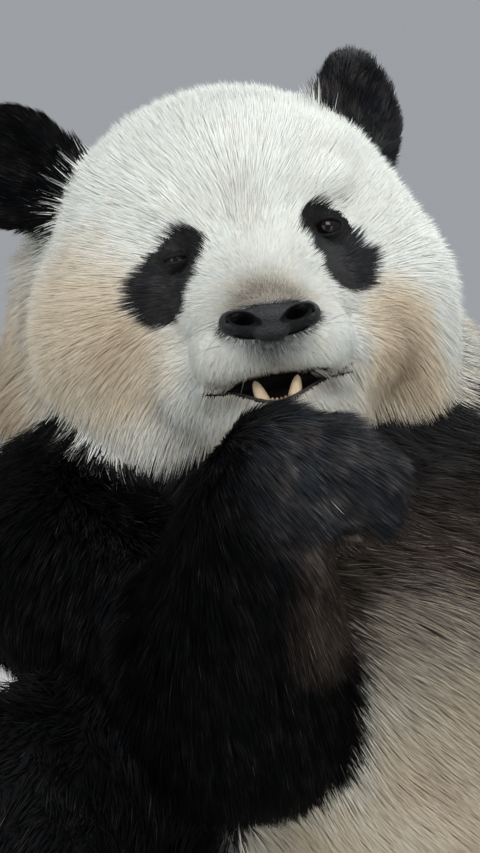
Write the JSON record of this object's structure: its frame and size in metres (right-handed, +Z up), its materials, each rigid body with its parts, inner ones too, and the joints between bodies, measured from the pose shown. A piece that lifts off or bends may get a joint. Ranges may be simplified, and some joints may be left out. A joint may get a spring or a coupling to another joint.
{
  "type": "giant panda",
  "caption": "Life-size still model of an adult giant panda that sits and leans back, its right forepaw raised in a loose fist before its chin.",
  "frame": {"origin": "on the floor, in the middle of the flat that the rump rests on", "axes": "+Z up, the panda faces -Y, its left side is at +X"},
  "size_m": [0.8737, 0.9303, 0.8459],
  "materials": {
    "coat_white": "matt fur, white to cream",
    "coat_cream": "matt fur, tan",
    "coat_black": "satin fur, black",
    "nose_leather": "satin, finely grained",
    "claw_horn": "satin horn",
    "eye_gloss": "wet gloss"
  },
  "bodies": {
    "root": {"head": "coat_white", "neck": "coat_cream", "chest": "coat_black", "abdomen": "coat_white", "tail": "coat_white", "nose": "nose_leather", "ear_right": "coat_black", "eye_right": "eye_gloss", "upper_arm_right": "coat_black", "forearm_right": "coat_black", "forepaw_right": "coat_black", "thigh_right": "coat_black", "shank_right": "coat_black", "hindpaw_right": "coat_black", "fore_claw_right_1": "claw_horn", "fore_claw_right_2": "claw_horn", "fore_claw_right_3": "claw_horn", "fore_claw_right_4": "claw_horn", "fore_claw_right_5": "claw_horn", "hind_claw_right_1": "claw_horn", "hind_claw_right_2": "claw_horn", "hind_claw_right_3": "claw_horn", "hind_claw_right_4": "claw_horn", "hind_claw_right_5": "claw_horn", "ear_left": "coat_black", "eye_left": "eye_gloss", "upper_arm_left": "coat_black", "forearm_left": "coat_black", "forepaw_left": "coat_black", "thigh_left": "coat_black", "shank_left": "coat_black", "hindpaw_left": "coat_black", "fore_claw_left_1": "claw_horn", "fore_claw_left_2": "claw_horn", "fore_claw_left_3": "claw_horn", "fore_claw_left_4": "claw_horn", "fore_claw_left_5": "claw_horn", "hind_claw_left_1": "claw_horn", "hind_claw_left_2": "claw_horn", "hind_claw_left_3": "claw_horn", "hind_claw_left_4": "claw_horn", "hind_claw_left_5": "claw_horn"}
  },
  "joints": []
}
